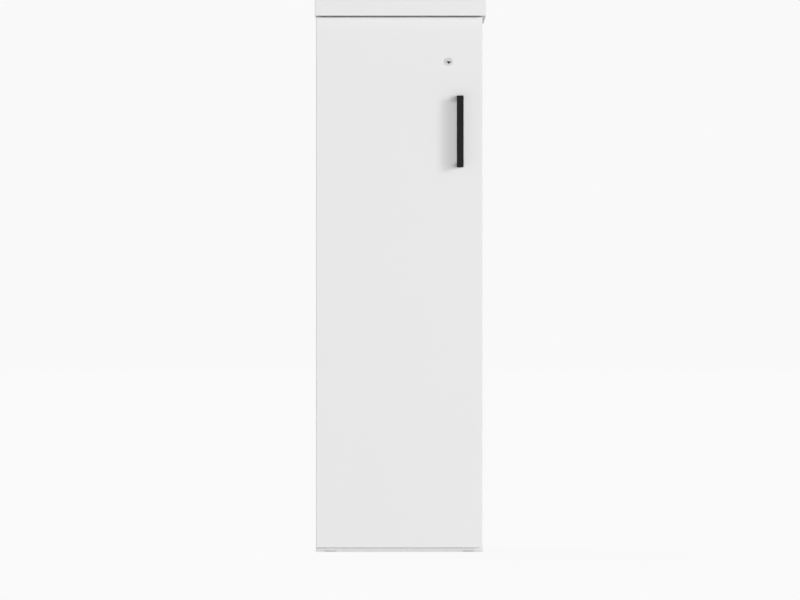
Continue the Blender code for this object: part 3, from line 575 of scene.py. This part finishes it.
def carved(obj, cutters):
    """Cuts each cutter out of a piece and leaves one clean mesh."""
    for cutter in cutters:
        cut = obj.modifiers.new("cut", "BOOLEAN")
        cut.operation = "DIFFERENCE"
        cut.solver = "EXACT"
        cut.object = cutter
    bpy.context.view_layer.update()
    seen = obj.evaluated_get(bpy.context.evaluated_depsgraph_get())
    mesh = bpy.data.meshes.new_from_object(seen)
    obj.modifiers.clear()
    uncut = obj.data
    obj.data = mesh
    bpy.data.meshes.remove(uncut)
    for cutter in cutters:
        bpy.data.objects.remove(cutter)
    bm = bmesh.new()
    bm.from_mesh(mesh)
    shaded(bm)
    bm.to_mesh(mesh)
    bm.free()
    return obj


def painted(obj, material):
    """Gives an object one material in place of those it has."""
    obj.data.materials.clear()
    obj.data.materials.append(material)


def fitted(obj, material, body, replaced=()):
    """Gives a piece its finish, the body it rides on and the CAD nodes it stands for."""
    painted(obj, material)
    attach(obj, body)
    if replaced:
        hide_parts(*replaced)


def softened(name, mesh, width, segments=2):
    """A copy of a plain form with its edges rounded, the width in millimetres."""
    bm = bmesh.new()
    bm.from_mesh(mesh)
    bmesh.ops.remove_doubles(bm, verts=bm.verts, dist=0.002 * MM)
    bmesh.ops.dissolve_limit(bm, angle_limit=FLAT_ANGLE, verts=bm.verts, edges=bm.edges)
    soften(bm, width * MM, segments)
    return mesh_object(name, bm)


def softened_node(node, width, material):
    """A CAD node's shape with its pressed or moulded edges rounded."""
    piece = softened(f"{node}_finished", nodes[node].data, width)
    fitted(piece, material, body_of[node], (node,))


def middle(node):
    low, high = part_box(node)
    return (low + high) / 2


# ---------------------------------------------------------------- screws

def cross_cutter(name, reach, half, deep, matrix):
    """The tapered cross of a screwdriver recess, in millimetres, sunk along -Z."""
    cross = [
        (reach, -half), (reach, half), (half, half), (half, reach), (-half, reach), (-half, half),
        (-reach, half), (-reach, -half), (-half, -half), (-half, -reach), (half, -reach), (half, -half),
    ]
    above = (1.15, 0.4)
    bottom = (0.5, -deep)
    rings = [[(x * size * MM, y * size * MM, z * MM) for x, y in cross] for size, z in (above, bottom)]
    return mesh_object(name, loft(rings), matrix)


def screw_form(name, at, along, reach, point, head_r, head, shank_r, pitch):
    """A pan-head screw, sizes in millimetres: at is under its head, along points out of the head, and
    point says whether its end tapers."""
    profile = [(0.25 * shank_r if point else 0.7 * shank_r, -reach)]
    thread_end = -reach + (1.6 * shank_r if point else 0.3 * shank_r)
    profile += thread_run(shank_r, thread_end, -1.2, 0.28 * shank_r, pitch)
    profile += [(0.8 * shank_r, -0.9), (0.85 * shank_r, -0.05), (0.97 * head_r, 0.0)]
    profile += [(head_r, 0.22 * head), (0.98 * head_r, 0.45 * head), (0.88 * head_r, 0.74 * head)]
    profile += [(0.68 * head_r, 0.93 * head), (0.4 * head_r, head)]
    lay = facing(at, along)
    piece = mesh_object(name, turned_form(profile, 24), lay)
    top = lay @ Matrix.Translation((0, 0, head * MM))
    return carved(piece, [cross_cutter("recess", 0.56 * head_r, 0.15 * head_r, 0.8 * head, top)])


def screw_for(node, along, sizes, material, point=False):
    """A detailed screw in place of a CAD screw that lies along an axis."""
    low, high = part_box(node)
    centre = (low + high) / 2
    axis = max(range(3), key=lambda i: abs(along[i]))
    top, bottom = (high, low) if along[axis] > 0 else (low, high)
    at = centre.copy()
    at[axis] = top[axis] - along[axis] * sizes["head"] * MM
    reach = abs(at[axis] - bottom[axis]) / MM
    piece = screw_form(f"{node}_cross", at, along, reach, point, **sizes)
    fitted(piece, material, body_of[node], (node,))


# ---------------------------------------------------------------- pieces

def finish_boards():
    """The boards keep their CAD shape. Each has a material of its own, measured from its box."""
    thin_axis = {
        "cover_top": 2,
        "carcase_top_panel": 2,
        "carcase_bottom_panel": 2,
        "shelf_lower": 2,
        "shelf_upper": 2,
        "left_side_panel": 0,
        "right_side_panel": 0,
        "door_panel": 1,
    }
    for name, thin in thin_axis.items():
        low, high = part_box(name)
        # Painted shade towards the floor on the bottom panel
        floor_shade = FLOOR_PAINTED_SHADE if name == "carcase_bottom_panel" else 0.0
        # Painted shade on the cover's underside
        under = UNDERSIDE_PAINTED_SHADE if name == "cover_top" else None
        finish = board_finish(f"melamine_{name}", low, high, thin, floor_shade=floor_shade, under=under)
        painted(nodes[name], finish)
    low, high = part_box("back_panel")
    finish = board_finish("backing_white", low, high, 1, band=BACKING_BAND, white=BACKING_WHITE, raw=FIBRE)
    painted(nodes["back_panel"], finish)


def build_handle(coat, zinc):
    """A bow whose legs are cut narrower than its bar. In the drawing X runs out of the door and Y up."""
    low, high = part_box("handle")
    wide, out, long = ((high[i] - low[i]) / MM for i in range(3))
    inner = out - HANDLE_BAR
    outline = [
        (0, 0),
        (out, 0),
        (out, long),
        (0, long),
        (0, long - HANDLE_LEG),
        (inner, long - HANDLE_LEG),
        (inner, HANDLE_LEG),
        (0, HANDLE_LEG),
    ]
    at = Vector(((low.x + high.x) / 2, high.y, low.z))
    lay = Matrix.Translation(at) @ Matrix(((0, 0, 1, 0), (-1, 0, 0, 0), (0, 1, 0, 0), (0, 0, 0, 1)))
    plain = mesh_object("handle_plain", outline_form(outline, wide), lay)
    end = long + CUT_SPARE
    strip = [(-CUT_SPARE, -CUT_SPARE), (inner, -CUT_SPARE), (inner, end), (-CUT_SPARE, end)]
    strip_thick = (wide - HANDLE_LEG_WIDE) / 2 + CUT_SPARE
    cutters = []
    for side in (-1, 1):
        shift = Matrix.Translation((0, 0, side * (HANDLE_LEG_WIDE + strip_thick) / 2 * MM))
        cutters.append(mesh_object("leg_side", outline_form(strip, strip_thick), lay @ shift))
    carved(plain, cutters)
    bow = softened("handle_bow", plain.data, HANDLE_ROUND, 4)
    fitted(bow, coat, "door", ("handle",))
    bpy.data.objects.remove(plain)
    for end_name in ("lower", "upper"):
        screw_for(f"handle_screw_{end_name}", BACKWARD, HANDLE_SCREW, zinc)


def build_lock_housing(face, lay):
    """The flange on the door with its turned ring, and the threaded barrel behind it."""
    housing = [
        (8.7, 0.3), (10.4, 0.3), (10.5, 0.5), (10.5, 1.2), (10.35, 1.7), (10.0, 2.1), (9.5, 2.3),
        (8.75, 2.3), (8.6, 2.12), (8.2, 2.12), (8.05, 2.3), (6.55, 2.3), (6.3, 2.15), (6.2, 1.9),
        (6.2, -24.5), (8.2, -24.5),
    ]
    housing += thread_run(8.7, -24.1, -17.5, 0.45, 1.0)
    housing += [(8.6, -17.0), (8.6, -1.0)]
    piece = mesh_object("lock_housing", turned_form(housing, 64, wrap=True), lay)
    fitted(piece, face, "door", ("lock_body",))


def build_lock_plug(face, lay):
    """The plug with its key slot and a round eye under it, and a black disc behind them, painted shade for
    the inside of the keyway.
    """
    square = polygon(3.5, 4, math.pi / 4)
    plug = [
        (square, -27.3), (square, -24.85), (5.7, -24.8), (6.0, -24.5), (6.0, 2.0), (5.9, 2.35), (5.6, 2.58),
        (5.2, 2.6),
    ]
    piece = mesh_object("lock_face", turned_form(plug, 64), lay)
    slot = outline_form(rounded_outline(4.8, 1.2, 0.3, 3), 8)
    slot_cutter = mesh_object("keyway", slot, lay @ Matrix.Translation(Vector((0, -0.1, 5.4)) * MM))
    eye = turned_form([(2.7, 1.4), (2.7, 9.0)], 32)
    eye_cutter = mesh_object("key_eye", eye, lay @ Matrix.Translation(Vector((0.2, -1.7, 0)) * MM))
    pocket = mesh_object("keyway_shade_pocket", turned_form([(5.1, 0.9), (5.1, 2.0)], 40), lay)
    carved(piece, [slot_cutter, eye_cutter, pocket])
    fitted(piece, face, "lock_cylinder", ("lock_plug",))

    # Painted shade: a black disc behind the slot stands in for the shade inside the keyway
    keyway_shade_profile = [(4.7, 1.0), (4.9, 1.1), (4.9, 1.8), (4.8, 1.9)]
    dark = plastic("keyway_shade_black", (0.003, 0.003, 0.003), 0.7, specular=0.1)
    piece = mesh_object("keyway_shade_disc", turned_form(keyway_shade_profile, 40), lay)
    fitted(piece, dark, "lock_cylinder")


def build_lock_back(centre, zinc):
    """The nut behind the door, the cam and the screw that holds it."""
    nut_at = Vector((centre.x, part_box("lock_nut")[0].y, centre.z))
    hexagon = polygon(10.8, 6)
    edge = polygon(10.5, 6)
    nut = [
        (9.3, 0), (10.2, 0), (edge, 0.15), (hexagon, 0.45), (hexagon, 2.0), (10.6, 2.7), (9.4, 2.7),
        (9.05, 2.4), (9.05, 0.3),
    ]
    piece = mesh_object("lock_nut_hex", turned_form(nut, 48, wrap=True), facing(nut_at, BACKWARD))
    fitted(piece, zinc, "door", ("lock_nut",))
    softened_node("lock_cam", CAM_ROUND, zinc)
    screw_for("cam_screw", BACKWARD, CAM_SCREW, zinc)


def build_lock(zinc):
    centre = middle("lock_plug")
    at = Vector((centre.x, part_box("door_panel")[0].y, centre.z))
    face = turned_metal("satin_nickel_turned", (0.80, 0.79, 0.775), 0.3, at)
    lay = facing(at, FORWARD)
    build_lock_housing(face, lay)
    build_lock_plug(face, lay)
    build_lock_back(centre, zinc)


def build_hinges(nickel, zinc, steel):
    for level in ("lower", "middle", "upper"):
        for part in ("cup", "arm", "plate"):
            softened_node(f"hinge_{part}_{level}", SHEET_ROUND, nickel)
        screw_for(f"hinge_screw_{level}", ACROSS, HINGE_SCREW, steel)
        for end in ("low", "high"):
            node = f"hinge_plate_{level}_screw_{end}"
            screw_for(node, ACROSS, WOOD_SCREW, zinc, point=True)
        painted(nodes[f"hinge_pin_{level}"], steel)
        arm_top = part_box(f"hinge_arm_{level}")[1].x
        fixing = middle(f"hinge_screw_{level}")
        set_at = Vector((arm_top, fixing.y - ADJUSTER_FORWARD * MM, fixing.z))
        piece = screw_form(f"hinge_adjuster_{level}", set_at, ACROSS, ADJUSTER_REACH, False, **ADJUSTER)
        fitted(piece, steel, "cabinet")


def build_keeper(zinc):
    softened_node("lock_keeper", SHEET_ROUND, zinc)
    for end in ("low", "high"):
        screw_for(f"keeper_screw_{end}", -ACROSS, WOOD_SCREW, zinc, point=True)


def build_feet(pale, zinc):
    """A ribbed glide and a threaded stud for each foot."""
    rim = ribbed(15.0, 24, 0.35)
    glide = [
        (13.2, 0.0), (14.3, 0.15), (14.8, 0.5), (rim, 0.9), (rim, 1.6), (14.6, 2.0), (13.8, 2.3),
        (12.8, 2.4), (8.0, 2.4), (7.4, 2.2), (6.2, 2.2), (5.6, 2.4), (4.4, 2.4),
    ]
    stud = [(3.7, 2.0)] + thread_run(4.0, 2.45, 17.0, 0.4, 1.25) + [(3.3, 17.6)]
    for spot in ("front_left", "front_right", "back_left", "back_right"):
        at = middle(f"foot_{spot}")
        at.z = 0.0
        piece = mesh_object(f"foot_glide_{spot}", turned_form(glide, 96), facing(at, UP))
        fitted(piece, pale, f"foot_{spot}_body", (f"foot_{spot}",))
        piece = mesh_object(f"foot_stud_{spot}", turned_form(stud, 32), facing(at, UP))
        fitted(piece, zinc, f"foot_{spot}_body")
        painted(nodes[f"foot_insert_{spot}"], zinc)


def build_pegs(zinc):
    for name in sorted(nodes):
        if name.startswith("shelf_peg"):
            softened_node(name, PEG_ROUND, zinc)


def build_buffers():
    clear = soft_clear("buffer_clear")
    dome = [
        (4.0, 0.0), (4.2, 0.15), (4.2, 0.5), (4.05, 1.0), (3.6, 1.55), (2.8, 1.95), (1.8, 2.14), (0.7, 2.2),
    ]
    for level in ("lower", "upper"):
        node = f"buffer_{level}"
        at = middle(node)
        at.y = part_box(node)[0].y
        piece = mesh_object(f"buffer_dome_{level}", turned_form(dome, 40), facing(at, BACKWARD))
        fitted(piece, clear, "door", (node,))


def build_back_screws(zinc):
    """Low-head screws that hold the back panel in its rabbet."""
    low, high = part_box("back_panel")
    inset = BACK_SCREW_INSET * MM
    from_end = inset * 8
    row_gap = (high.z - low.z - 2 * from_end) / (BACK_SCREW_ROWS - 1)
    spots = []
    for row in range(BACK_SCREW_ROWS):
        z = low.z + from_end + row_gap * row
        spots += [(low.x + inset, z), (high.x - inset, z)]
    for share in (0.25, 0.75):
        x = low.x + (high.x - low.x) * share
        spots += [(x, low.z + inset), (x, high.z - inset)]
    for i, (x, z) in enumerate(spots):
        at = Vector((x, high.y, z))
        piece = screw_form(f"back_screw_{i:02d}", at, BACKWARD, BACK_SCREW_REACH, True, **BACK_SCREW)
        fitted(piece, zinc, "cabinet")


def build_caps():
    """White covers over the joint fittings inside the carcase."""
    white = plastic("cap_white", (0.79, 0.79, 0.785), 0.32, 0.02)
    form = [(8.2, 0.02), (8.5, 0.2), (8.4, 0.55), (8.0, 0.8), (7.2, 0.9), (6.9, 0.78), (2.0, 0.72)]
    low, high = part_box("carcase_top_panel")
    left_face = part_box("left_side_panel")[1].x
    right_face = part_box("right_side_panel")[0].x
    offset = CAP_OFFSET * MM
    cap_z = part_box("carcase_bottom_panel")[1].z + offset
    spots = []
    for y in (low.y + CAP_FROM_FRONT * MM, high.y - CAP_FROM_BACK * MM):
        spots.append((Vector((low.x + offset, y, low.z)), -UP))
        spots.append((Vector((high.x - offset, y, low.z)), -UP))
        spots.append((Vector((left_face, y, cap_z)), ACROSS))
        spots.append((Vector((right_face, y, cap_z)), -ACROSS))
    for i, (at, along) in enumerate(spots):
        piece = mesh_object(f"joint_cap_{i:02d}", turned_form(form, 40), facing(at, along))
        fitted(piece, white, "cabinet")


add_camera()
add_softbox("softbox", **SOFTBOX)
add_sun("key", **KEY)
add_sun("rear", **REAR)
add_world()
add_floor()

coat = powder_coat()
zinc = metal("zinc_plated", (0.60, 0.615, 0.64), 0.36, (1, 1, 1), 0.08, 0.06)
nickel = metal("nickel_pressed", (0.66, 0.645, 0.62), 0.26, (1, 0.15, 1), 0.05, 0.05)
steel = metal("steel_bright", (0.67, 0.67, 0.68), 0.22, (1, 1, 0.2), 0.04, 0.05)
pale = plastic("glide_pale", (0.60, 0.60, 0.59), 0.5, 0.04)

finish_boards()
build_handle(coat, zinc)
build_lock(zinc)
build_hinges(nickel, zinc, steel)
build_keeper(zinc)
build_feet(pale, zinc)
build_pegs(zinc)
build_buffers()
build_back_screws(zinc)
build_caps()
